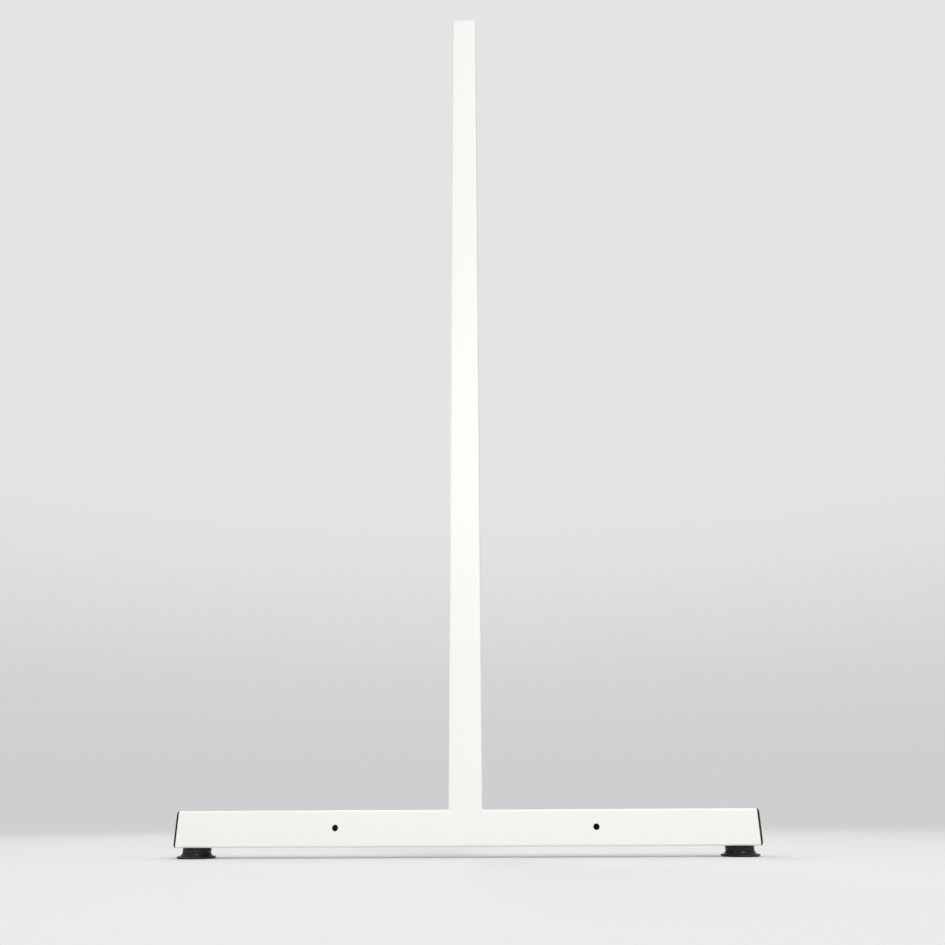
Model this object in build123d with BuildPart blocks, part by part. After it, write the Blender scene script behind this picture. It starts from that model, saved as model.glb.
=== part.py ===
from build123d import *
import os

# T-shaped upright of a partition wall. Sizes are in millimetres, the floor is Z = 0,
# the floor bar runs along X and the face that is seen looks along -Y.

# Square steel tube, used for the floor bar and the post
tube_size = 50.0
tube_wall = 2.0
tube_corner = 3.0
tube_half = tube_size / 2
tube_inner = tube_size - 2 * tube_wall
tube_inner_corner = tube_corner - tube_wall

# Overall sizes
bar_length = 850.0
overall_height = 1680.0
foot_height = 15.0
bar_mid = foot_height + tube_half
bar_top = foot_height + tube_size
bar_floor = foot_height + tube_wall

# Plastic caps in the open tube ends
end_cap_head = 5.0
end_cap_round = 3.5
top_cap_head = 3.0
top_cap_round = 1.5
cap_depth = 12.0
cap_skirt_wall = 2.0
cap_skirt_gap = 0.6
cap_fin_gap = 0.05
cap_fin_height = 1.2
cap_fin_step = 4.0
cap_fin_count = 3
post_top = overall_height - top_cap_head

# Weld between the post and the bar
weld_flush_length = tube_size - 2 * tube_corner + 2.0
weld_leg = 3.0

# M8 fixings: nuts welded inside the bar, and rivet nuts in the back of the post
m8_tap_radius = 3.4
rail_spacing = 382.0
rail_rise = 26.0
rail_height = foot_height + rail_rise
rail_hole_radius = 4.5
weld_nut_flats = 14.0
weld_nut_height = 6.5
rivet_count = 4
rivet_lowest = 300.0
rivet_below_top = 180.0
rivet_step = (overall_height - rivet_below_top - rivet_lowest) / (rivet_count - 1)
rivet_spots = [(0, rivet_lowest + rivet_step * number) for number in range(rivet_count)]
rivet_body_radius = 5.5
rivet_flange_radius = 7.5
rivet_flange_height = 1.2
rivet_bulge_radius = 7.0
rivet_bulge_height = 3.5
rivet_length = 16.0

# Levelling feet
foot_inset = 25.0
foot_place = bar_length / 2 - foot_inset
foot_travel = 12.0
thread_radius = 5.0
thread_clearance = 0.05
stud_radius = thread_radius - thread_clearance

bush_wall = 2.0
bush_radius = thread_radius + bush_wall
bush_flange_radius = bush_radius + 3.0
bush_flange_height = 2.0
bush_length = 18.0

pad_radius = 28.0
pad_lip = 1.8
sole_gap = 0.2
sole_radius = pad_radius - pad_lip - sole_gap
sole_height = 2.5
sole_proud = 1.0

pad_edge = 2.2
pad_neck_radius = 21.5
pad_height = 7.0
pad_web = 2.8

play = 0.1
knob_radius = 20.5
knob_gap = 0.3
knob_bottom = pad_height + play
knob_top = foot_height - knob_gap
knob_chamfer = 0.8
flute_count = 16
flute_radius = 2.2
flute_centre = knob_radius + 1.2

collar_flats = 2 * (stud_radius + 3.5)
collar_cover = 1.8
collar_bottom = knob_bottom + collar_cover
collar_height = knob_top - collar_cover - collar_bottom
spigot_radius = 4.0
spigot_gap = 0.05
spigot_bottom = sole_height + 0.2
groove_radius = 3.4
clip_radius = 6.5
clip_pocket_radius = clip_radius + 0.7
clip_height = 0.8
clip_top = pad_height - pad_web - play
clip_bottom = clip_top - clip_height
stud_spare = 14.0
stud_top = foot_height + foot_travel + stud_spare
rim = sole_radius + sole_gap

sides = {"left": -foot_place, "right": foot_place}
parts = {}


# Floor bar: tube with two bolt holes in front and a bush hole under each end
bar_end = Plane(origin=(-bar_length / 2, 0, bar_mid), x_dir=(0, 1, 0), z_dir=(1, 0, 0))
with BuildPart() as base_tube:
    with BuildSketch(bar_end):
        RectangleRounded(tube_size, tube_size, tube_corner)
        RectangleRounded(tube_inner, tube_inner, tube_inner_corner, mode=Mode.SUBTRACT)
    extrude(amount=bar_length)
    with BuildSketch(Plane.XZ.offset(tube_half)):
        with Locations((-rail_spacing / 2, rail_height), (rail_spacing / 2, rail_height)):
            Circle(rail_hole_radius)
    extrude(amount=-2 * tube_wall, mode=Mode.SUBTRACT)
    with BuildSketch(Plane.XY.offset(foot_height)):
        with Locations((-foot_place, 0), (foot_place, 0)):
            Circle(bush_radius)
    extrude(amount=2 * tube_wall, mode=Mode.SUBTRACT)
parts["base_tube"] = base_tube.part


# Post: the same tube standing on the bar, with rivet nut holes in the back
with BuildPart() as post_tube:
    with BuildSketch(Plane.XY.offset(bar_top)):
        RectangleRounded(tube_size, tube_size, tube_corner)
        RectangleRounded(tube_inner, tube_inner, tube_inner_corner, mode=Mode.SUBTRACT)
    extrude(amount=post_top - bar_top)
    with BuildSketch(Plane.XZ.offset(-tube_half)):
        with Locations(rivet_spots):
            Circle(rivet_body_radius)
    extrude(amount=2 * tube_wall, mode=Mode.SUBTRACT)
parts["post_tube"] = post_tube.part


# Weld metal that fills the bar's rounded edge under the post, ground flush front and back
with BuildPart() as weld_flush:
    with BuildSketch(Plane.YZ.offset(-weld_flush_length / 2)):
        for side in (-1, 1):
            with Locations((side * (tube_half - tube_wall / 2), bar_top - tube_corner / 2)):
                Rectangle(tube_wall, tube_corner)
        for side in (-1, 1):
            with Locations((side * (tube_half - tube_corner), bar_top - tube_corner)):
                Circle(tube_corner, mode=Mode.SUBTRACT)
    extrude(amount=weld_flush_length)
parts["weld_flush"] = weld_flush.part


# Fillet welds along the two sides of the post
weld_span = tube_size - 2 * tube_corner
with BuildPart() as weld_fillets:
    with BuildSketch(Plane.XZ.offset(-weld_span / 2)):
        for side in (-1, 1):
            root = (side * tube_half, bar_top)
            toe = (side * (tube_half + weld_leg), bar_top)
            crown = (side * tube_half, bar_top + weld_leg)
            with BuildLine():
                Polyline(root, toe, crown, close=True)
            make_face()
    extrude(amount=weld_span)
parts["weld_fillets"] = weld_fillets.part


# Push-in tube caps: a head that covers the tube's end, and a finned skirt inside it
def tube_cap(seat, head, edge_round):
    with BuildPart() as cap:
        with BuildSketch(seat):
            RectangleRounded(tube_size, tube_size, tube_corner)
        extrude(amount=head)
        fillet(cap.faces().sort_by(Axis(seat.origin, seat.z_dir))[-1].edges(), edge_round)
        skirt = tube_inner - 2 * cap_skirt_gap
        with BuildSketch(seat):
            RectangleRounded(skirt, skirt, tube_inner_corner)
            hollow = skirt - 2 * cap_skirt_wall
            Rectangle(hollow, hollow, mode=Mode.SUBTRACT)
        extrude(amount=-cap_depth)
        fin = tube_inner - 2 * cap_fin_gap
        for number in range(cap_fin_count):
            with BuildSketch(seat.offset(-cap_fin_step * number - 1.0)):
                RectangleRounded(fin, fin, tube_inner_corner)
                Rectangle(hollow, hollow, mode=Mode.SUBTRACT)
            extrude(amount=-cap_fin_height)
    return cap.part


right_end = Plane(origin=(bar_length / 2, 0, bar_mid), x_dir=(0, 1, 0), z_dir=(1, 0, 0))
left_end = Plane(origin=(-bar_length / 2, 0, bar_mid), x_dir=(0, -1, 0), z_dir=(-1, 0, 0))
parts["base_end_cap_left"] = tube_cap(left_end, end_cap_head, end_cap_round)
parts["base_end_cap_right"] = tube_cap(right_end, end_cap_head, end_cap_round)
parts["post_top_cap"] = tube_cap(Plane.XY.offset(post_top), top_cap_head, top_cap_round)


# Nuts welded behind the bar's two bolt holes
with BuildPart() as rail_weld_nuts:
    with BuildSketch(Plane.XZ.offset(tube_half - tube_wall)):
        with Locations((-rail_spacing / 2, rail_height), (rail_spacing / 2, rail_height)):
            RegularPolygon(weld_nut_flats / 2, 6, major_radius=False)
            Circle(m8_tap_radius, mode=Mode.SUBTRACT)
    extrude(amount=-weld_nut_height)
parts["rail_weld_nuts"] = rail_weld_nuts.part


# Rivet nuts in the back of the post: flange outside, body through the wall, set bulge inside
with BuildPart() as panel_rivet_nuts:
    with BuildSketch(Plane.XZ.offset(-tube_half)):
        with Locations(rivet_spots):
            Circle(rivet_flange_radius)
    extrude(amount=-rivet_flange_height)
    with BuildSketch(Plane.XZ.offset(-tube_half)):
        with Locations(rivet_spots):
            Circle(rivet_body_radius)
    extrude(amount=rivet_length)
    with BuildSketch(Plane.XZ.offset(tube_wall - tube_half)):
        with Locations(rivet_spots):
            Circle(rivet_bulge_radius)
    extrude(amount=rivet_bulge_height)
    with BuildSketch(Plane.XZ.offset(-tube_half - rivet_flange_height)):
        with Locations(rivet_spots):
            Circle(m8_tap_radius)
    extrude(amount=rivet_flange_height + rivet_length, mode=Mode.SUBTRACT)
parts["panel_rivet_nuts"] = panel_rivet_nuts.part


# Levelling foot pieces, each built round the foot's own axis
def foot_bush(place):
    with BuildPart() as bush:
        with BuildSketch(Plane.XY.offset(foot_height)):
            with Locations((place, 0)):
                Circle(bush_radius)
        extrude(amount=bush_length)
        with BuildSketch(Plane.XY.offset(bar_floor)):
            with Locations((place, 0)):
                Circle(bush_flange_radius)
        extrude(amount=bush_flange_height)
        with BuildSketch(Plane.XY.offset(foot_height)):
            with Locations((place, 0)):
                Circle(thread_radius)
        extrude(amount=bush_length, mode=Mode.SUBTRACT)
    return bush.part


def foot_sole(place):
    with BuildPart() as sole:
        with BuildSketch(Plane.XY):
            with Locations((place, 0)):
                Circle(sole_radius)
        extrude(amount=sole_height)
    return sole.part


def foot_pad(place):
    centre = Plane(origin=(place, 0, 0), x_dir=(1, 0, 0), z_dir=(0, -1, 0))
    flare_foot = (pad_radius, sole_proud + pad_edge)
    flare_mid = (pad_neck_radius + 1.6, pad_height - 2.4)
    flare_head = (pad_neck_radius, pad_height)
    web_bottom = pad_height - pad_web
    with BuildPart() as pad:
        with BuildSketch(centre):
            with BuildLine():
                Polyline((rim, sole_proud), (pad_radius, sole_proud), flare_foot)
                ThreePointArc(flare_foot, flare_mid, flare_head)
                Polyline(
                    flare_head,
                    (spigot_radius + spigot_gap, pad_height),
                    (spigot_radius + spigot_gap, web_bottom),
                    (clip_pocket_radius, web_bottom),
                    (clip_pocket_radius, sole_height),
                    (rim, sole_height),
                    (rim, sole_proud),
                )
            make_face()
        revolve(axis=Axis((place, 0, 0), (0, 0, 1)))
    return pad.part


def foot_knob(place):
    with BuildPart() as knob:
        with BuildSketch(Plane.XY.offset(knob_bottom)):
            with Locations((place, 0)):
                Circle(knob_radius)
        extrude(amount=knob_top - knob_bottom)
        chamfer(knob.edges().filter_by(GeomType.CIRCLE), knob_chamfer)
        with BuildSketch(Plane.XY.offset(knob_bottom)):
            with Locations((place, 0)):
                with PolarLocations(flute_centre, flute_count):
                    Circle(flute_radius)
        extrude(amount=knob_top - knob_bottom, mode=Mode.SUBTRACT)
        with BuildSketch(Plane.XY.offset(knob_bottom)):
            with Locations((place, 0)):
                Circle(stud_radius)
        extrude(amount=knob_top - knob_bottom, mode=Mode.SUBTRACT)
        with BuildSketch(Plane.XY.offset(collar_bottom)):
            with Locations((place, 0)):
                RegularPolygon(collar_flats / 2, 6, major_radius=False)
        extrude(amount=collar_height, mode=Mode.SUBTRACT)
    return knob.part


def foot_stud(place):
    rod = (
        (spigot_radius, spigot_bottom, clip_bottom),
        (groove_radius, clip_bottom, clip_top),
        (spigot_radius, clip_top, knob_bottom),
        (stud_radius, knob_bottom, stud_top),
    )
    with BuildPart() as stud:
        for radius, low, high in rod:
            with BuildSketch(Plane.XY.offset(low)):
                with Locations((place, 0)):
                    Circle(radius)
            extrude(amount=high - low)
        with BuildSketch(Plane.XY.offset(collar_bottom)):
            with Locations((place, 0)):
                RegularPolygon(collar_flats / 2, 6, major_radius=False)
        extrude(amount=collar_height)
    return stud.part


def foot_clip(place):
    with BuildPart() as clip:
        with BuildSketch(Plane.XY.offset(clip_bottom)):
            with Locations((place, 0)):
                Circle(clip_radius)
                Circle(groove_radius, mode=Mode.SUBTRACT)
        extrude(amount=clip_height)
    return clip.part


foot_pieces = {
    "foot_bush": foot_bush,
    "foot_stud": foot_stud,
    "foot_knob": foot_knob,
    "foot_pad": foot_pad,
    "foot_sole": foot_sole,
    "foot_clip": foot_clip,
}
for side, place in sides.items():
    for piece, make in foot_pieces.items():
        parts[f"{side}_{piece}"] = make(place)


os.makedirs("parts", exist_ok=True)
for name, solid in parts.items():
    solid.label = name
    export_step(solid, f"parts/{name}.step")
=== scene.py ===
import bpy, bmesh
from math import cos, pi, radians, sin, tau
from random import Random
from mathutils import Matrix, Vector


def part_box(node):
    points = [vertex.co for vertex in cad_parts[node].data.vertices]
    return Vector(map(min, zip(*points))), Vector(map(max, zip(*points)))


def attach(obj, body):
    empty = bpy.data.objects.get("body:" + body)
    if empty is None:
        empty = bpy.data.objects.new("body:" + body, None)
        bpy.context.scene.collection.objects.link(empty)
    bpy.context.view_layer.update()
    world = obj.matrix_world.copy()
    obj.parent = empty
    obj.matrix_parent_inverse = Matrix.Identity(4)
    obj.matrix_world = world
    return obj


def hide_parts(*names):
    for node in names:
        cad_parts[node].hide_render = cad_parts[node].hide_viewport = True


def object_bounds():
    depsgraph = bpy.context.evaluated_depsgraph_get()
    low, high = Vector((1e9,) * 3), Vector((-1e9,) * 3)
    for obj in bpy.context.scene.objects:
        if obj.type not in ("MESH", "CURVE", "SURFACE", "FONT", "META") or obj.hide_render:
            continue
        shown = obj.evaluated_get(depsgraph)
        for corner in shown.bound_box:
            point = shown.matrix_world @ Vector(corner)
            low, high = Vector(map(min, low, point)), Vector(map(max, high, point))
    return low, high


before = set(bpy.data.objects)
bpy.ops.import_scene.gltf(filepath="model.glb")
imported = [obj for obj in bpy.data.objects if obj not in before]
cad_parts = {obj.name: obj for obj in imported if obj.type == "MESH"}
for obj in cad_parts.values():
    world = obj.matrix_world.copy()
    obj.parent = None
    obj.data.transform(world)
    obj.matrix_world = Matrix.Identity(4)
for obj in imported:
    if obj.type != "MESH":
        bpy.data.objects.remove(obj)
cadLow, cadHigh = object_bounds()
scene = bpy.context.scene
mm = 0.001                 # lengths are in metres, unless a note says mm
mergeGap = 0.001 * mm      # corners closer than this are one corner
dice = Random(7)

barLow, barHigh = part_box("base_tube")
postLow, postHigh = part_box("post_tube")
barMiddle = (barLow + barHigh) / 2


def newGroup(name, inputs, outputs):
    group = bpy.data.node_groups.new(name, "ShaderNodeTree")
    for label, value in inputs.items():
        socket = group.interface.new_socket(label, in_out="INPUT", socket_type="NodeSocketFloat")
        socket.default_value = value
    for label in outputs:
        group.interface.new_socket(label, in_out="OUTPUT", socket_type="NodeSocketFloat")
    return group, group.nodes.new("NodeGroupInput"), group.nodes.new("NodeGroupOutput")


def addNode(tree, kind, values=None, **settings):
    node = tree.nodes.new(kind)
    for label, value in settings.items():
        setattr(node, label, value)
    for label, value in (values or {}).items():
        if isinstance(value, bpy.types.NodeSocket):
            tree.links.new(value, node.inputs[label])
        else:
            node.inputs[label].default_value = value
    return node


def addMath(tree, operation, first, second, third=None):
    values = {0: first, 1: second}
    if third is not None:
        values[2] = third
    return addNode(tree, "ShaderNodeMath", values, operation=operation).outputs[0]


def addNoise(tree, where, scale, detail=2.0, roughness=0.5):
    values = {"Vector": where, "Scale": scale, "Detail": detail, "Roughness": roughness}
    return addNode(tree, "ShaderNodeTexNoise", values).outputs["Fac"]


def addRange(tree, value, fromLow, fromHigh, toLow=0.0, toHigh=1.0):
    values = {"Value": value, "From Min": fromLow, "From Max": fromHigh, "To Min": toLow, "To Max": toHigh}
    return addNode(tree, "ShaderNodeMapRange", values).outputs[0]


def objectPlace(tree):
    return addNode(tree, "ShaderNodeTexCoord").outputs["Object"]


# pattern scales are per metre, here and in the next groups
peelPattern = {"broad": 330.0, "fine": 1400.0, "cloud": 5.0, "speck": 75.0, "rare": 11.0,
               "speckRim": (0.03, 0.08), "rareFrom": (0.62, 0.7)}


# orange peel of a sprayed and baked coat: broad ripples, a fine pebble on top and a few specks
def makePeelGroup():
    group, given, out = newGroup("coatPeel", {"Size": 1.0, "Pebble": 0.25}, ("Height", "Cloud", "Speck"))
    where = objectPlace(group)
    size = given.outputs["Size"]
    broad = addNoise(group, where, addMath(group, "DIVIDE", peelPattern["broad"], size), 1.5)
    fine = addNoise(group, where, addMath(group, "DIVIDE", peelPattern["fine"], size), 2.0, 0.6)
    height = addMath(group, "MULTIPLY_ADD", fine, given.outputs["Pebble"], broad)
    cloud = addNoise(group, where, peelPattern["cloud"], 3.0)
    cells = addNode(group, "ShaderNodeTexVoronoi", {"Vector": where, "Scale": peelPattern["speck"]})
    fleck = addRange(group, cells.outputs["Distance"], *peelPattern["speckRim"], 1.0, 0.0)
    rare = addNoise(group, where, peelPattern["rare"], 1.0)
    chosen = addRange(group, rare, *peelPattern["rareFrom"])
    group.links.new(height, out.inputs["Height"])
    group.links.new(cloud, out.inputs["Cloud"])
    group.links.new(addMath(group, "MULTIPLY", fleck, chosen), out.inputs["Speck"])
    return group


dustPattern = {"patch": 26.0, "detail": 5.0, "rough": 0.65, "patchFrom": (0.45, 0.75)}


# dust and shoe marks that thin out upwards from the floor
def makeDustGroup():
    group, given, out = newGroup("floorDust", {"Reach": 0.1, "Strength": 0.5}, ("Dust",))
    where = objectPlace(group)
    height = addNode(group, "ShaderNodeSeparateXYZ", {"Vector": where}).outputs["Z"]
    fade = addRange(group, height, 0.0, given.outputs["Reach"], 1.0, 0.0)
    cloth = addNoise(group, where, dustPattern["patch"], dustPattern["detail"], dustPattern["rough"])
    patch = addRange(group, cloth, *dustPattern["patchFrom"])
    dust = addMath(group, "MULTIPLY", addMath(group, "MULTIPLY", fade, patch), given.outputs["Strength"])
    group.links.new(dust, out.inputs["Dust"])
    return group


grainPattern = {"pebbleShare": 0.45, "pebbleHeight": 0.6, "flow": 90.0, "rub": 420.0, "rubFrom": (0.6, 0.72)}


# spark-eroded grain of moulded plastic, with faint flow clouds and rubbed spots
def makeGrainGroup():
    group, given, out = newGroup("mouldGrain", {"Grain": 2600.0}, ("Height", "Flow", "Rub"))
    where = objectPlace(group)
    grain = given.outputs["Grain"]
    cells = addNode(group, "ShaderNodeTexVoronoi", {"Vector": where, "Scale": grain}, feature="SMOOTH_F1")
    pebble = addNoise(group, where, addMath(group, "MULTIPLY", grain, grainPattern["pebbleShare"]), 2.0)
    height = addMath(group, "MULTIPLY_ADD", pebble, grainPattern["pebbleHeight"], cells.outputs["Distance"])
    rub = addNoise(group, where, grainPattern["rub"], 4.0, 0.7)
    group.links.new(height, out.inputs["Height"])
    group.links.new(addNoise(group, where, grainPattern["flow"], 3.0), out.inputs["Flow"])
    group.links.new(addRange(group, rub, *grainPattern["rubFrom"]), out.inputs["Rub"])
    return group


turnedPattern = {"mottle": 520.0, "mottleRough": 0.6}


# turned and plated metal: fine tool rings along Z, or along Y where Axis is 1, and mottled plating
def makeTurnGroup():
    group, given, out = newGroup("turnedMetal", {"Rings": 3800.0, "Axis": 0.0}, ("Height", "Mottle"))
    where = objectPlace(group)
    place = addNode(group, "ShaderNodeSeparateXYZ", {"Vector": where})
    across = addMath(group, "MULTIPLY", place.outputs["Y"], given.outputs["Axis"])
    upright = addMath(group, "SUBTRACT", 1.0, given.outputs["Axis"])
    up = addMath(group, "MULTIPLY", place.outputs["Z"], upright)
    along = addMath(group, "MULTIPLY", addMath(group, "ADD", across, up), given.outputs["Rings"])
    rings = addNode(group, "ShaderNodeCombineXYZ", {"X": 0.0, "Y": 0.0, "Z": along}).outputs[0]
    mottle = addNoise(group, where, turnedPattern["mottle"], 3.0, turnedPattern["mottleRough"])
    group.links.new(addNoise(group, rings, 1.0, 3.0), out.inputs["Height"])
    group.links.new(mottle, out.inputs["Mottle"])
    return group


coatPeel = makePeelGroup()
floorDust = makeDustGroup()
mouldGrain = makeGrainGroup()
turnedMetal = makeTurnGroup()


def newLook(name):
    look = bpy.data.materials.new(name)
    look.use_nodes = True
    return look, look.node_tree, look.node_tree.nodes["Principled BSDF"]


def useGroup(tree, group, **values):
    node = addNode(tree, "ShaderNodeGroup", node_tree=group)
    for label, value in values.items():
        node.inputs[label].default_value = value
    return node


# sockets 0, 6 and 7 of the mix are its amount and its two colours
def mixColours(tree, amount, first, second):
    node = addNode(tree, "ShaderNodeMix", data_type="RGBA")
    for socket, value in ((0, amount), (6, first), (7, second)):
        if isinstance(value, bpy.types.NodeSocket):
            tree.links.new(value, node.inputs[socket])
        elif socket:
            node.inputs[socket].default_value = (*value, 1.0)
        else:
            node.inputs[socket].default_value = value
    return node.outputs[2]


# stretches the middle of a noise to run from low to high
def spread(tree, value, low, high):
    return addRange(tree, value, 0.3, 0.7, low, high)


def addRelief(tree, shader, height, depth):
    bump = addNode(tree, "ShaderNodeBump", {"Height": height, "Distance": depth, "Strength": 1.0})
    tree.links.new(bump.outputs[0], shader.inputs["Normal"])


coatDirt = {"reach": 0.05, "dust": 0.1, "dustTint": (0.55, 0.53, 0.49), "dustRough": 0.3,
            "speck": 0.12, "speckTint": (0.3, 0.29, 0.27), "clouding": 0.99}


def makeCoat(name, size, depth, rough, tint):
    look, tree, shader = newLook(name)
    peel = useGroup(tree, coatPeel, Size=size)
    dust = useGroup(tree, floorDust, Reach=coatDirt["reach"], Strength=coatDirt["dust"]).outputs["Dust"]
    cloudTint = tuple(coatDirt["clouding"] * part for part in tint)
    colour = mixColours(tree, spread(tree, peel.outputs["Cloud"], 0.0, 1.0), tint, cloudTint)
    colour = mixColours(tree, dust, colour, coatDirt["dustTint"])
    specks = addMath(tree, "MULTIPLY", peel.outputs["Speck"], coatDirt["speck"])
    colour = mixColours(tree, specks, colour, coatDirt["speckTint"])
    tree.links.new(colour, shader.inputs["Base Color"])
    gloss = spread(tree, peel.outputs["Cloud"], rough - 0.04, rough + 0.05)
    dusty = addMath(tree, "MULTIPLY_ADD", dust, coatDirt["dustRough"], gloss)
    tree.links.new(dusty, shader.inputs["Roughness"])
    addRelief(tree, shader, peel.outputs["Height"], depth)
    return look


plasticDirt = {"reach": 0.06, "dust": 0.22, "dustTint": (0.32, 0.3, 0.27), "dustCover": 0.4,
               "flowCover": 0.35, "rubCover": 0.3}


def makePlastic(name, tint, worn, rough, grain, depth, sheen=0.5):
    look, tree, shader = newLook(name)
    shader.inputs["Specular IOR Level"].default_value = sheen
    mould = useGroup(tree, mouldGrain, Grain=grain)
    dust = useGroup(tree, floorDust, Reach=plasticDirt["reach"], Strength=plasticDirt["dust"])
    flow = spread(tree, mould.outputs["Flow"], 0.0, plasticDirt["flowCover"])
    rub = addMath(tree, "MULTIPLY", mould.outputs["Rub"], plasticDirt["rubCover"])
    dirt = addMath(tree, "MULTIPLY", dust.outputs["Dust"], plasticDirt["dustCover"])
    colour = mixColours(tree, flow, tint, worn)
    colour = mixColours(tree, rub, colour, worn)
    colour = mixColours(tree, dirt, colour, plasticDirt["dustTint"])
    tree.links.new(colour, shader.inputs["Base Color"])
    gloss = spread(tree, mould.outputs["Flow"], rough - 0.05, rough + 0.07)
    tree.links.new(gloss, shader.inputs["Roughness"])
    addRelief(tree, shader, mould.outputs["Height"], depth)
    return look


ringDepth = 0.012 * mm      # of the tool rings on turned metal


def makeMetal(name, tint, dull, rough, axis=0.0):
    look, tree, shader = newLook(name)
    turned = useGroup(tree, turnedMetal, Axis=axis)
    shader.inputs["Metallic"].default_value = 1.0
    mottle = turned.outputs["Mottle"]
    colour = mixColours(tree, spread(tree, mottle, 0.0, 1.0), tint, dull)
    tree.links.new(colour, shader.inputs["Base Color"])
    tree.links.new(spread(tree, mottle, rough - 0.07, rough + 0.1), shader.inputs["Roughness"])
    addRelief(tree, shader, turned.outputs["Height"], ringDepth)
    return look


whiteCoat = makeCoat("whiteCoat", size=1.0, depth=0.08 * mm, rough=0.33, tint=(0.872, 0.878, 0.85))
weldCoat = makeCoat("weldCoat", size=0.8, depth=0.09 * mm, rough=0.36, tint=(0.867, 0.873, 0.845))
whitePlastic = makePlastic("whitePlastic", tint=(0.86, 0.855, 0.825), worn=(0.82, 0.815, 0.785),
                           rough=0.4, grain=2200.0, depth=0.02 * mm)
blackCapPlastic = makePlastic("blackCapPlastic", tint=(0.007, 0.007, 0.0075), worn=(0.018, 0.018, 0.019),
                              rough=0.42, grain=2600.0, depth=0.03 * mm, sheen=0.3)
blackFootPlastic = makePlastic("blackFootPlastic", tint=(0.006, 0.006, 0.007), worn=(0.02, 0.02, 0.022),
                               rough=0.33, grain=3000.0, depth=0.016 * mm, sheen=0.3)
soleRubber = makePlastic("soleRubber", tint=(0.012, 0.012, 0.012), worn=(0.03, 0.029, 0.028),
                         rough=0.75, grain=1800.0, depth=0.04 * mm)
zincPlate = makeMetal("zincPlate", tint=(0.66, 0.67, 0.69), dull=(0.5, 0.51, 0.54), rough=0.3)
zincRivet = makeMetal("zincRivet", tint=(0.66, 0.67, 0.69), dull=(0.5, 0.51, 0.54), rough=0.32, axis=1.0)
bareSteel = makeMetal("bareSteel", tint=(0.5, 0.49, 0.48), dull=(0.36, 0.35, 0.34), rough=0.38)
# black phosphate steel for the weld nuts; its near-black colour is also painted shade, standing in for the
# dark inside of the bolt holes where the nut's face shows through
blackSteelHoleShade = makeMetal("blackSteelHoleShade", tint=(0.05, 0.05, 0.052), dull=(0.028, 0.028, 0.03), rough=0.55,
                       axis=1.0)
print("materials ready")


def roundSquare(bm, half, corner, segments=8):
    made = bmesh.ops.create_grid(bm, x_segments=1, y_segments=1, size=half)
    bmesh.ops.bevel(bm, geom=made["verts"], offset=corner, offset_type="OFFSET", segments=segments,
                    profile=0.5, affect="VERTICES", material=-1)
    return bm.faces[:][-1]


# extrudes one face, scales its far end about the pivot and moves it; gives back the new end face
def pushFace(bm, face, move, scale=(1.0, 1.0, 1.0), pivot=(0.0, 0.0, 0.0)):
    made = bmesh.ops.extrude_face_region(bm, geom=[face, *face.edges])["geom"]
    corners = [part for part in made if isinstance(part, bmesh.types.BMVert)]
    bmesh.ops.scale(bm, verts=corners, vec=scale, space=Matrix.Translation(-Vector(pivot)))
    bmesh.ops.translate(bm, verts=corners, vec=move)
    return next(part for part in made if isinstance(part, bmesh.types.BMFace))


# turns an outline of (radius, height) pairs in mm about Z
def latheShape(outline, closed=True, steps=96):
    bm = bmesh.new()
    corners = [bm.verts.new((radius * mm, 0.0, height * mm)) for radius, height in outline]
    pairs = list(zip(corners, corners[1:]))
    if closed:
        pairs.append((corners[-1], corners[0]))
    edges = [bm.edges.new(pair) for pair in pairs]
    bmesh.ops.spin(bm, geom=corners + edges, cent=(0, 0, 0), axis=(0, 0, 1), angle=tau, steps=steps,
                   use_merge=True)
    bmesh.ops.remove_doubles(bm, verts=bm.verts, dist=mergeGap)
    return bm


threadForm = {"flank": 0.44, "flat": 0.07}      # half widths of a thread's root and crest, in pitches


# winds one screw ridge about Z, from its root's radius to its crest's, in mm
def windThread(bm, thread, low, turns, steps=36):
    pitch = thread["pitch"]
    flank, flat = threadForm["flank"] * pitch, threadForm["flat"] * pitch
    outline = ((thread["root"], -flank), (thread["crest"], -flat), (thread["crest"], flat),
               (thread["root"], flank))
    corners = [bm.verts.new((radius * mm, 0.0, (low + height) * mm)) for radius, height in outline]
    face = bm.faces.new(corners)
    bmesh.ops.spin(bm, geom=[face], cent=(0, 0, 0), axis=(0, 0, 1), dvec=(0, 0, pitch * mm / steps),
                   angle=tau * turns, steps=int(steps * turns))


# rounds every edge sharper than the given angle in degrees, by a width in mm
def easeEdges(bm, width, sharpest=35.0, segments=2):
    bmesh.ops.recalc_face_normals(bm, faces=bm.faces)
    edges = [edge for edge in bm.edges if edge.is_manifold and edge.calc_face_angle() > radians(sharpest)]
    bmesh.ops.bevel(bm, geom=edges, offset=width * mm, offset_type="OFFSET", segments=segments, profile=0.5,
                    affect="EDGES", material=-1, clamp_overlap=True)


def newPiece(name, bm, place=None):
    if place is not None:
        bmesh.ops.transform(bm, matrix=place, verts=bm.verts)
    bmesh.ops.recalc_face_normals(bm, faces=bm.faces)
    mesh = bpy.data.meshes.new(name)
    bm.to_mesh(mesh)
    bm.free()
    piece = bpy.data.objects.new(name, mesh)
    scene.collection.objects.link(piece)
    return piece


# takes shapes out of a piece, then rounds its sharp edges
def cutAway(piece, shapes, ease):
    cutter = newPiece("cutter", shapes)
    change = piece.modifiers.new("cut", "BOOLEAN")
    change.operation = "DIFFERENCE"
    change.solver = "EXACT"
    change.object = cutter
    result = bpy.data.meshes.new_from_object(piece.evaluated_get(bpy.context.evaluated_depsgraph_get()))
    piece.modifiers.clear()
    piece.data = result
    result.name = piece.name
    bpy.data.objects.remove(cutter)
    bm = bmesh.new()
    bm.from_mesh(result)
    bmesh.ops.remove_doubles(bm, verts=bm.verts, dist=mergeGap)
    easeEdges(bm, ease)
    bm.to_mesh(result)
    bm.free()


sharpFrom = radians(38)      # edges bent more than this are shaded sharp


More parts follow.
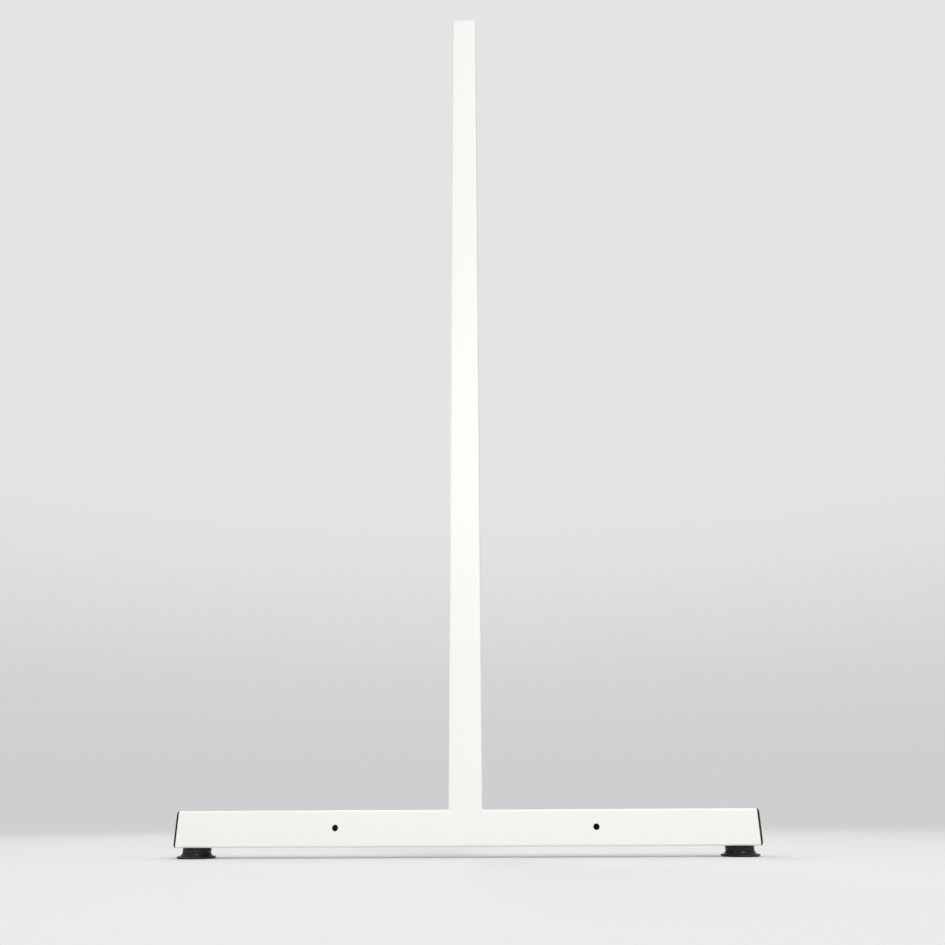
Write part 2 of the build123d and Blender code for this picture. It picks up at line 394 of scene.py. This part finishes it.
def finishPiece(piece, look, body, node):
    piece.data.materials.clear()
    piece.data.materials.append(look)
    piece.data.shade_smooth()
    piece.data.set_sharp_from_angle(angle=sharpFrom)
    steady = piece.modifiers.new("flatNormals", "WEIGHTED_NORMAL")
    steady.keep_sharp = True
    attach(piece, body)
    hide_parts(node)


# moves the other shape to its place and adds it to the first
def joinShapes(bm, other, place=None):
    if place is not None:
        bmesh.ops.transform(other, matrix=place, verts=other.verts)
    carrier = bpy.data.meshes.new("carrier")
    other.to_mesh(carrier)
    other.free()
    bm.from_mesh(carrier)
    bpy.data.meshes.remove(carrier)


def addShapes(piece, other):
    bm = bmesh.new()
    bm.from_mesh(piece.data)
    joinShapes(bm, other)
    bm.to_mesh(piece.data)
    bm.free()


# turns local +Z to face along the given direction, at the given place
def facing(place, direction, around=Vector((0, 0, 1))):
    out = Vector(direction).normalized()
    side = around.cross(out).normalized()
    turn = Matrix((side, out.cross(side), out)).transposed().to_4x4()
    return Matrix.Translation(place) @ turn


tubeStock = {"half": 25 * mm, "wall": 2 * mm, "corner": 3 * mm, "cutEase": 0.3}
boltHoles = {"radius": 4.5 * mm, "rise": 26 * mm, "spacing": 382 * mm}
bushHoles = {"radius": 7.0 * mm, "inset": 25 * mm}
rivetHoles = {"radius": 5.5 * mm, "lowest": 300 * mm, "step": 400 * mm, "count": 4}
drillLength = 4 * tubeStock["wall"]      # half of it is inside the tube, through one wall and no further


def squareTube(stock, length):
    bm = bmesh.new()
    face = roundSquare(bm, stock["half"], stock["corner"])
    bmesh.ops.inset_region(bm, faces=[face], thickness=stock["wall"], use_even_offset=True,
                           use_boundary=True)
    bmesh.ops.delete(bm, geom=[face], context="FACES_ONLY")
    made = bmesh.ops.extrude_face_region(bm, geom=bm.faces[:])["geom"]
    corners = [part for part in made if isinstance(part, bmesh.types.BMVert)]
    bmesh.ops.translate(bm, verts=corners, vec=(0, 0, length))
    return bm


def rodsAt(places, direction, radius, length):
    bm = bmesh.new()
    for place in places:
        bmesh.ops.create_cone(bm, cap_ends=True, segments=64, radius1=radius, radius2=radius, depth=length,
                              matrix=facing(place, direction))
    return bm


barFront = Vector((0, barLow.y, barLow.z + boltHoles["rise"]))
boltPlaces = [barFront + Vector((side * boltHoles["spacing"] / 2, 0, 0)) for side in (-1, 1)]
footPlaces = {"left": barLow.x + bushHoles["inset"], "right": barHigh.x - bushHoles["inset"]}
bushPlaces = [Vector((x, 0, barLow.z)) for x in footPlaces.values()]
rivetPlaces = [Vector((0, postHigh.y, rivetHoles["lowest"] + number * rivetHoles["step"]))
               for number in range(rivetHoles["count"])]

barEnd = Vector((barLow.x, barMiddle.y, barMiddle.z))
bar = newPiece("floorBar", squareTube(tubeStock, barHigh.x - barLow.x), facing(barEnd, (1, 0, 0)))
drills = rodsAt(boltPlaces, (0, -1, 0), boltHoles["radius"], drillLength)
joinShapes(drills, rodsAt(bushPlaces, (0, 0, 1), bushHoles["radius"], drillLength))
cutAway(bar, drills, tubeStock["cutEase"])
finishPiece(bar, whiteCoat, "frame", "base_tube")

postFoot = Matrix.Translation((0, 0, postLow.z))
post = newPiece("post", squareTube(tubeStock, postHigh.z - postLow.z), postFoot)
cutAway(post, rodsAt(rivetPlaces, (0, 1, 0), rivetHoles["radius"], drillLength), tubeStock["cutEase"])
finishPiece(post, whiteCoat, "frame", "post_tube")
print("tubes ready")


# leg is how far the bead reaches out and up, and crown the same for the middle of its face
weldBead = {"leg": 2.2 * mm, "crown": 1.116 * mm, "shoulder": (0.86, 0.3), "sunk": 0.4 * mm, "toe": 0.2 * mm,
            "span": 44 * mm, "ripple": 2.2 * mm, "steps": 8, "swell": 0.035, "wander": 0.03,
            "endSize": 0.35, "endSteps": 6}


# one bead laid along Y in the corner between the bar's top and the post's side, thinner at its two ends
def layBead(bm, side):
    leg, crown, sunk, toe = (weldBead[part] for part in ("leg", "crown", "sunk", "toe"))
    far, near = (share * leg for share in weldBead["shoulder"])
    start = -weldBead["span"] / 2
    root = Vector((side * tubeStock["half"], start, barHigh.z))
    outline = ((-sunk, -sunk), (leg, -toe), (far, near), (crown, crown), (near, far), (-toe, leg))
    size, place = weldBead["endSize"], start
    corners = [bm.verts.new(root + size * Vector((side * out, 0, up))) for out, up in outline]
    face = bm.faces.new(corners)
    advance = weldBead["ripple"] / weldBead["steps"]
    count = round(weldBead["span"] / advance)
    for number in range(count):
        if number % weldBead["steps"] == 0:
            wander = weldBead["wander"] * dice.uniform(-1, 1)
        wave = 0.5 - 0.5 * cos(tau * number / weldBead["steps"])
        fromEnd = min(1.0, min(number, count - 1 - number) / weldBead["endSteps"])
        taper = weldBead["endSize"] + (1.0 - weldBead["endSize"]) * sin(pi / 2 * fromEnd)
        wanted = (1.0 + wander - weldBead["swell"] * wave) * taper
        ratio = wanted / size
        pivot = Vector((side * tubeStock["half"], place, barHigh.z))
        face = pushFace(bm, face, (0, advance, 0), (ratio, 1.0, ratio), pivot)
        size, place = wanted, place + advance


# the outline is how far out from the tube's face and how high above the bar, in mm, and so is the core
flushWeld = {"run": 50 * mm, "step": 1.0 * mm, "tail": 4 * mm, "fade": 2.4 * mm, "thinnest": 0.12,
             "wander": 0.012, "core": (-2.6, -0.4),
             "outline": ((0.0, -3.0), (0.03, -2.4), (0.04, -1.2), (0.015, 0.12), (-1.0, 0.5), (-2.6, 0.3),
                         (-2.9, -0.4), (-1.2, -1.9))}


# one bead laid along X over the bar's rounded edge, ground level with both tubes, its tails thinning out
def layFlushBead(bm, side):
    start = -flushWeld["run"] / 2 - flushWeld["tail"] + flushWeld["step"]
    edge = side * tubeStock["half"]
    corners = [bm.verts.new((start, edge + side * out * mm, barHigh.z + up * mm))
               for out, up in flushWeld["outline"]]
    face = bm.faces.new(corners)
    coreOut, coreUp = flushWeld["core"]
    pivot = Vector((start, edge + side * coreOut * mm, barHigh.z + coreUp * mm))
    size, place = 1.0, start
    while place < -start:
        past = max(0.0, abs(place + flushWeld["step"]) - flushWeld["run"] / 2 + flushWeld["fade"])
        thinned = max(flushWeld["thinnest"], 1.0 - past / (flushWeld["fade"] + flushWeld["tail"]))
        wanted = thinned + flushWeld["wander"] * dice.uniform(-1, 1)
        ratio = wanted / size
        pivot.x = place
        face = pushFace(bm, face, (flushWeld["step"], 0, 0), (1.0, ratio, ratio), pivot)
        size, place = wanted, place + flushWeld["step"]


def layWelds(name, layOne, node):
    bm = bmesh.new()
    for side in (-1, 1):
        layOne(bm, side)
    bmesh.ops.remove_doubles(bm, verts=bm.verts, dist=mergeGap)
    finishPiece(newPiece(name, bm), weldCoat, "frame", node)


layWelds("sideWelds", layBead, "weld_fillets")
layWelds("flushWelds", layFlushBead, "weld_flush")
print("welds ready")


# the caps' sizes are in mm; each step of a head is how far in it has come and how far out it stands
blackCap = {"head": ((0.0, 0.7), (0.25, 1.35), (0.8, 2.2), (1.7, 3.1), (3.1, 3.9), (5.2, 4.5), (8.5, 4.85),
                     (13.0, 4.97), (18.0, 5.0))}
whiteCap = {"head": ((0.0, 1.5), (0.12, 2.0), (0.45, 2.5), (0.95, 2.8), (1.6, 2.94), (2.6, 3.0))}
capSkirt = {"half": 22.4, "finHalf": 22.9, "fins": 3, "finStep": 4.0, "finFirst": 1.0, "finHeight": 1.2,
            "finLead": 0.25, "depth": 12.0, "wall": 2.0, "ceiling": 0.4}


# a cap with a domed head outside the tube, and a hollow finned skirt that goes into it
def tubeCap(name, design, place, look, node):
    half = tubeStock["half"] / mm
    bm = bmesh.new()
    bottom = roundSquare(bm, tubeStock["half"], tubeStock["corner"])
    seat = bmesh.ops.extrude_face_region(bm, geom=[bottom])["geom"]
    top = next(part for part in seat if isinstance(part, bmesh.types.BMFace))
    width, height = half, 0.0
    for inward, out in design["head"]:
        ratio = (half - inward) / width
        if height == 0.0:
            bmesh.ops.translate(bm, verts=top.verts[:], vec=(0, 0, out * mm))
        else:
            top = pushFace(bm, top, (0, 0, (out - height) * mm), (ratio, ratio, 1.0))
        width, height = half - inward, out
    skirt, fin = capSkirt["half"], capSkirt["finHalf"]
    path = [(skirt, 0.0)]
    for number in range(capSkirt["fins"]):
        upper = -capSkirt["finFirst"] - number * capSkirt["finStep"]
        lower = upper - capSkirt["finHeight"]
        path += [(skirt, upper), (fin, upper - capSkirt["finLead"]), (fin, lower), (skirt, lower)]
    hollow = skirt - capSkirt["wall"]
    path += [(skirt, -capSkirt["depth"]), (hollow, -capSkirt["depth"]), (hollow, -capSkirt["ceiling"])]
    width, height = half, 0.0
    for wanted, depth in path:
        ratio = wanted / width
        bottom = pushFace(bm, bottom, (0, 0, (depth - height) * mm), (ratio, ratio, 1.0))
        width, height = wanted, depth
    bmesh.ops.remove_doubles(bm, verts=bm.verts, dist=mergeGap)
    finishPiece(newPiece(name, bm, place), look, "frame", node)


leftEnd = facing((barLow.x, 0, barMiddle.z), (-1, 0, 0))
rightEnd = facing((barHigh.x, 0, barMiddle.z), (1, 0, 0))
postTop = Matrix.Translation((0, 0, postHigh.z))
tubeCap("barCapLeft", blackCap, leftEnd, blackCapPlastic, "base_end_cap_left")
tubeCap("barCapRight", blackCap, rightEnd, blackCapPlastic, "base_end_cap_right")
tubeCap("postCap", whiteCap, postTop, whitePlastic, "post_top_cap")
print("caps ready")


# the sizes of the nuts, in mm; a thread's root is sunk a little in the bore's wall
nutThread = {"crest": 3.4, "root": 4.02, "pitch": 1.25}
rivetNut = {"flange": 7.5, "flangeRise": 1.2, "body": 5.5, "bulge": 7.0, "wall": 2.0, "bulgeEnd": 5.5,
            "length": 16.0, "bore": 4.0, "mouth": 0.55, "threadStart": 0.6, "threadStop": 1.9}
weldNut = {"flats": 14.0, "height": 6.5, "ease": 0.35, "bore": 4.0, "boreEase": 0.25, "drill": 40.0,
           "threadStart": 0.6, "turns": 4.2}


def rivetShape():
    nut, rise, length = rivetNut, rivetNut["flangeRise"], rivetNut["length"]
    bore, flange, body, bulge = (nut[part] for part in ("bore", "flange", "body", "bulge"))
    wall, bulgeEnd = nut["wall"], nut["bulgeEnd"]
    outline = ((bore, rise - nut["mouth"]), (bore + nut["mouth"], rise), (flange - 0.3, rise),
               (flange, rise - 0.35), (flange, 0.0), (body, 0.0), (body, -wall), (bulge - 0.4, -wall),
               (bulge, -wall - 0.9), (bulge - 0.6, -bulgeEnd + 0.5), (body, -bulgeEnd), (body, -length),
               (bore, -length))
    bm = latheShape(outline, steps=64)
    turns = (length + rise - nut["threadStop"]) / nutThread["pitch"]
    windThread(bm, nutThread, -length + nut["threadStart"], turns)
    return bm


nuts = bmesh.new()
for place in rivetPlaces:
    joinShapes(nuts, rivetShape(), facing(place, (0, 1, 0)))
finishPiece(newPiece("rivetNuts", nuts), zincRivet, "frame", "panel_rivet_nuts")


# a hexagonal block about Z, given its size across the flats
def addHex(bm, flats, low, height):
    corner = flats / 2 / cos(pi / 6) * mm
    bmesh.ops.create_cone(bm, cap_ends=True, segments=6, radius1=corner, radius2=corner, depth=height * mm,
                          matrix=Matrix.Translation((0, 0, (low + height / 2) * mm)))


nuts, threads = bmesh.new(), bmesh.new()
nutSeats = [place + Vector((0, tubeStock["wall"], 0)) for place in boltPlaces]
for place in nutSeats:
    block = bmesh.new()
    addHex(block, weldNut["flats"], -weldNut["height"], weldNut["height"])
    easeEdges(block, weldNut["ease"])
    joinShapes(nuts, block, facing(place, (0, -1, 0)))
    thread = bmesh.new()
    windThread(thread, nutThread, -weldNut["height"] + weldNut["threadStart"], weldNut["turns"])
    joinShapes(threads, thread, facing(place, (0, -1, 0)))
railNuts = newPiece("railNuts", nuts)
drills = rodsAt(nutSeats, (0, -1, 0), weldNut["bore"] * mm, weldNut["drill"] * mm)
cutAway(railNuts, drills, weldNut["boreEase"])
addShapes(railNuts, threads)
# the nuts' near-black colour paints the shade inside the bolt holes
finishPiece(railNuts, blackSteelHoleShade, "frame", "rail_weld_nuts")
print("fixings ready")


# the sizes of the feet, in mm, with heights above the floor
footThread = {"crest": 4.95, "root": 4.14, "pitch": 1.5}
footBush = {"bore": 5.0, "body": 7.0, "flange": 10.0, "low": 15.0, "seat": 17.0, "flangeTop": 19.0,
            "top": 33.0, "mouth": 0.5}
footStud = {"low": 2.7, "grooveLow": 3.3, "grooveHigh": 4.1, "groove": 3.4, "spigot": 4.0, "shoulder": 7.1,
            "top": 41.0, "collar": 16.9, "collarLow": 8.9, "collarRise": 4.0, "core": 4.18, "tip": 3.24}
footKnob = {"radius": 20.5, "low": 7.1, "high": 14.7, "rim": 0.8, "bore": 4.95, "flutes": 16, "flute": 2.2,
            "fluteCentre": 21.7, "fluteEase": 0.35, "fluteCutter": 20.0, "dishInner": 7.6, "dishOuter": 17.4,
            "dish": 1.1, "dishSlope": 0.4, "ribs": 8, "ribWidth": 1.3, "ribHeight": 1.2, "ribDrop": 0.7,
            "ribOverlap": 0.6, "ribEase": 0.2}
footPad = {"radius": 28.0, "low": 1.0, "edge": 3.2, "rim": 0.45, "neck": 21.5, "high": 7.0, "web": 4.2,
           "pocket": 7.2, "bore": 4.05, "recess": 26.2, "recessTop": 2.5, "flareSteps": 8}
footSole = {"radius": 26.0, "high": 2.5, "grooves": (7.0, 12.0, 17.0, 22.0), "groove": 1.3, "depth": 0.7,
            "slope": 0.2, "rim": 0.4}
footClip = {"outer": 6.5, "inner": 3.4, "low": 3.3, "high": 4.1}


def bushOutline():
    bush = footBush
    bore, mouth, body, flange = (bush[part] for part in ("bore", "mouth", "body", "flange"))
    return ((bore + mouth, bush["low"]), (body - 0.25, bush["low"]), (body, bush["low"] + 0.25),
            (body, bush["seat"]), (flange, bush["seat"]), (flange, bush["flangeTop"] - 0.3),
            (flange - 0.3, bush["flangeTop"]), (body, bush["flangeTop"]), (body, bush["top"] - 0.4),
            (body - 0.4, bush["top"]), (bore + mouth, bush["top"]), (bore, bush["top"] - mouth),
            (bore, bush["low"] + mouth))


def clipOutline():
    inner, outer, low, high = (footClip[part] for part in ("inner", "outer", "low", "high"))
    return ((inner, low + 0.1), (inner + 0.5, low), (outer, low + 0.15), (outer, high),
            (inner + 0.6, high - 0.2), (inner, high - 0.25))


# the disc flares from its neck to its rim in a hollow quarter round
def padOutline():
    pad, rim, bore, high = footPad, footPad["rim"], footPad["bore"], footPad["high"]
    flare = []
    for number in range(pad["flareSteps"] + 1):
        angle = pi / 2 * number / pad["flareSteps"]
        reach = (pad["radius"] - 0.5 - pad["neck"]) * (1 - sin(angle))
        rise = (high - 0.4 - pad["edge"]) * (1 - cos(angle))
        flare.append((pad["neck"] + reach, pad["edge"] + 0.15 + rise))
    return ((pad["recess"], pad["low"]), (pad["radius"] - rim, pad["low"]), (pad["radius"], pad["low"] + rim),
            (pad["radius"], pad["edge"] - rim), (pad["radius"] - 0.2, pad["edge"] - 0.05), *flare,
            (pad["neck"] - 0.25, high), (bore + 0.4, high), (bore, high - 0.4), (bore, pad["web"]),
            (pad["pocket"], pad["web"]), (pad["pocket"], pad["recessTop"]), (pad["recess"], pad["recessTop"]))


def soleOutline():
    sole = footSole
    outline = [(0.0, 0.0)]
    for middle in sole["grooves"]:
        inner, outer = middle - sole["groove"] / 2, middle + sole["groove"] / 2
        outline += [(inner, 0.0), (inner + sole["slope"], sole["depth"])]
        outline += [(outer - sole["slope"], sole["depth"]), (outer, 0.0)]
    return [*outline, (sole["radius"] - sole["rim"], 0.0), (sole["radius"], sole["rim"]),
            (sole["radius"], sole["high"]), (0.0, sole["high"])]


def studShape():
    stud, knobTop = footStud, footKnob["high"]
    spigot, groove, core, shank = stud["spigot"], stud["groove"], stud["core"], footThread["crest"]
    outline = ((0.0, stud["low"]), (spigot - 0.3, stud["low"]), (spigot, stud["low"] + 0.3),
               (spigot, stud["grooveLow"]), (groove, stud["grooveLow"]), (groove, stud["grooveHigh"]),
               (spigot, stud["grooveHigh"]), (spigot, stud["shoulder"]), (shank, stud["shoulder"]),
               (shank, knobTop - 1.5), (core, knobTop - 0.8), (core, stud["top"] - 0.9),
               (stud["tip"], stud["top"]), (0.0, stud["top"]))
    bm = latheShape(outline, closed=False, steps=64)
    addHex(bm, stud["collar"], stud["collarLow"], stud["collarRise"])
    low = knobTop - 0.4
    windThread(bm, footThread, low, (stud["top"] - 1.4 - low) / footThread["pitch"], 48)
    return bm


# a fluted ring with a dished top, which ribs cross
def makeKnob(name, place, body, node):
    knob = footKnob
    radius, rim, bore, high = (knob[part] for part in ("radius", "rim", "bore", "high"))
    inner, outer, slope = knob["dishInner"], knob["dishOuter"], knob["dishSlope"]
    dished = high - knob["dish"]
    outline = ((bore, knob["low"]), (radius - rim, knob["low"]), (radius, knob["low"] + rim),
               (radius, high - rim), (radius - rim, high), (outer, high), (outer - slope, dished),
               (inner + slope, dished), (inner, high), (bore, high))
    piece = newPiece(name, latheShape(outline, steps=128), place)
    flutes = bmesh.new()
    flute, reach, tall = knob["flute"] * mm, knob["fluteCentre"], knob["fluteCutter"]
    for number in range(knob["flutes"]):
        angle = tau * number / knob["flutes"]
        spot = Vector((reach * cos(angle), reach * sin(angle), tall / 2)) * mm
        bmesh.ops.create_cone(flutes, cap_ends=True, segments=32, radius1=flute, radius2=flute,
                              depth=tall * mm, matrix=place @ Matrix.Translation(spot))
    cutAway(piece, flutes, knob["fluteEase"])
    ribs = bmesh.new()
    length = outer - inner + knob["ribOverlap"]
    size = Matrix.Diagonal((length * mm, knob["ribWidth"] * mm, knob["ribHeight"] * mm, 1.0))
    spot = Matrix.Translation(Vector(((outer + inner) / 2, 0, high - knob["ribDrop"])) * mm)
    for number in range(knob["ribs"]):
        turn = Matrix.Rotation(tau * (number + 0.5) / knob["ribs"], 4, "Z")
        bmesh.ops.create_cube(ribs, size=1.0, matrix=place @ turn @ spot @ size)
    easeEdges(ribs, knob["ribEase"])
    addShapes(piece, ribs)
    finishPiece(piece, blackFootPlastic, body, node)


for side, x in footPlaces.items():
    place = Matrix.Translation((x, 0, 0))
    plate, screw = f"{side}_foot_plate", f"{side}_foot_screw"
    bush = newPiece(f"{side}FootBush", latheShape(bushOutline()), place)
    pad = newPiece(f"{side}FootPad", latheShape(padOutline()), place)
    sole = newPiece(f"{side}FootSole", latheShape(soleOutline(), closed=False), place)
    clip = newPiece(f"{side}FootClip", latheShape(clipOutline()), place)
    stud = newPiece(f"{side}FootStud", studShape(), place)
    finishPiece(bush, bareSteel, "frame", f"{side}_foot_bush")
    finishPiece(pad, blackFootPlastic, plate, f"{side}_foot_pad")
    finishPiece(sole, soleRubber, plate, f"{side}_foot_sole")
    finishPiece(clip, zincPlate, screw, f"{side}_foot_clip")
    finishPiece(stud, zincPlate, screw, f"{side}_foot_stud")
    makeKnob(f"{side}FootKnob", place, screw, f"{side}_foot_knob")
print("feet ready")


studioGround = {"size": 60.0, "tint": (0.8, 0.804, 0.81), "patchTint": (0.786, 0.79, 0.796), "patch": 1.5,
                "rough": 0.9}

floorLook, tree, shader = newLook("studioFloor")
patches = addNoise(tree, objectPlace(tree), studioGround["patch"], 3.0)
tree.links.new(mixColours(tree, patches, studioGround["tint"], studioGround["patchTint"]),
               shader.inputs["Base Color"])
shader.inputs["Roughness"].default_value = studioGround["rough"]
shader.inputs["Specular IOR Level"].default_value = 0.0
bm = bmesh.new()
bmesh.ops.create_grid(bm, x_segments=1, y_segments=1, size=studioGround["size"])
ground = newPiece("studioFloor", bm, Matrix.Translation((0, 0, cadLow.z)))
ground.data.materials.append(floorLook)

# an even grey lights the piece, and a sweep up from the far floor is seen behind it
studioWall = {"light": (0.6, 0.6, 0.6, 1.0), "foot": (0.62, 0.624, 0.63), "top": (0.77, 0.775, 0.783),
              "rise": 0.4}

world = bpy.data.worlds.new("studio")
scene.world = world
world.use_nodes = True
tree = world.node_tree
surround = tree.nodes["Background"]
surround.inputs["Color"].default_value = studioWall["light"]
backdrop = tree.nodes.new("ShaderNodeBackground")
direction = addNode(tree, "ShaderNodeTexCoord").outputs["Generated"]
height = addNode(tree, "ShaderNodeSeparateXYZ", {"Vector": direction}).outputs["Z"]
rise = addNode(tree, "ShaderNodeMapRange", {"Value": height, "From Max": studioWall["rise"]},
               interpolation_type="SMOOTHERSTEP").outputs[0]
tree.links.new(mixColours(tree, rise, studioWall["foot"], studioWall["top"]), backdrop.inputs["Color"])
chosen = tree.nodes.new("ShaderNodeMixShader")
tree.links.new(tree.nodes.new("ShaderNodeLightPath").outputs["Is Camera Ray"], chosen.inputs[0])
tree.links.new(surround.outputs[0], chosen.inputs[1])
tree.links.new(backdrop.outputs[0], chosen.inputs[2])
tree.links.new(chosen.outputs[0], tree.nodes["World Output"].inputs["Surface"])

# three soft boxes round the piece: places and sizes in metres, power in watts
boxSpread = radians(80)
softBoxes = {
    "keyLight": {"place": (1.0, -3.5, 2.24), "aim": (0.3, 0.0, 0.6), "size": (2.2, 1.0), "power": 11.6,
                 "colour": (1.0, 0.95, 0.87)},
    "fillLight": {"place": (-3.2, -1.6, 1.4), "aim": (0.0, 0.0, 0.8), "size": (1.4, 1.8), "power": 2.0,
                  "colour": (0.98, 0.99, 1.0)},
    "backLight": {"place": (-1.2, 3.4, 2.6), "aim": (0.0, 0.0, 0.8), "size": (2.0, 1.6), "power": 9.0,
                  "colour": (1.0, 1.0, 1.0)},
}
for name, box in softBoxes.items():
    lamp = bpy.data.lights.new(name, "AREA")
    lamp.shape = "RECTANGLE"
    lamp.size, lamp.size_y = box["size"]
    lamp.energy = box["power"]
    lamp.color = box["colour"]
    lamp.spread = boxSpread
    light = bpy.data.objects.new(name, lamp)
    light.location = box["place"]
    light.rotation_euler = (Vector(box["aim"]) - Vector(box["place"])).to_track_quat("-Z", "Y").to_euler()
    scene.collection.objects.link(light)

# a wide, soft overhead light that reaches the whole floor evenly, its width in degrees
overheadSun = {"strength": 0.64, "width": 35, "direction": (-0.171, 0.470, -0.866)}
overhead = bpy.data.lights.new("overheadLight", "SUN")
overhead.energy = overheadSun["strength"]
overhead.angle = radians(overheadSun["width"])
light = bpy.data.objects.new("overheadLight", overhead)
light.rotation_euler = Vector(overheadSun["direction"]).to_track_quat("-Z", "Y").to_euler()
scene.collection.objects.link(light)

# the camera sits close to the floor in front of the bar and looks up along the post, its turns in degrees
cameraSeat = {"place": (0.0542, -1.3492, 0.0561), "tilt": 22.35, "turn": -1.76, "roll": 0.31, "lens": 31.84}
tilt, turn, roll = (radians(cameraSeat[part]) for part in ("tilt", "turn", "roll"))
ahead = Vector((sin(turn) * cos(tilt), cos(turn) * cos(tilt), sin(tilt)))
right = Vector((cos(turn), -sin(turn), 0.0))
up = right.cross(ahead)
rolledRight = cos(roll) * right - sin(roll) * up
rolledUp = sin(roll) * right + cos(roll) * up
lens = bpy.data.cameras.new("camera")
lens.sensor_width = 36.0
lens.lens = cameraSeat["lens"]
lens.clip_start, lens.clip_end = 0.01, 200.0
camera = bpy.data.objects.new("camera", lens)
turned = Matrix((rolledRight, rolledUp, -ahead)).transposed()
camera.matrix_world = Matrix.Translation(cameraSeat["place"]) @ turned.to_4x4()
scene.collection.objects.link(camera)
scene.camera = camera
scene.view_settings.view_transform = "Standard"
print("studio ready")
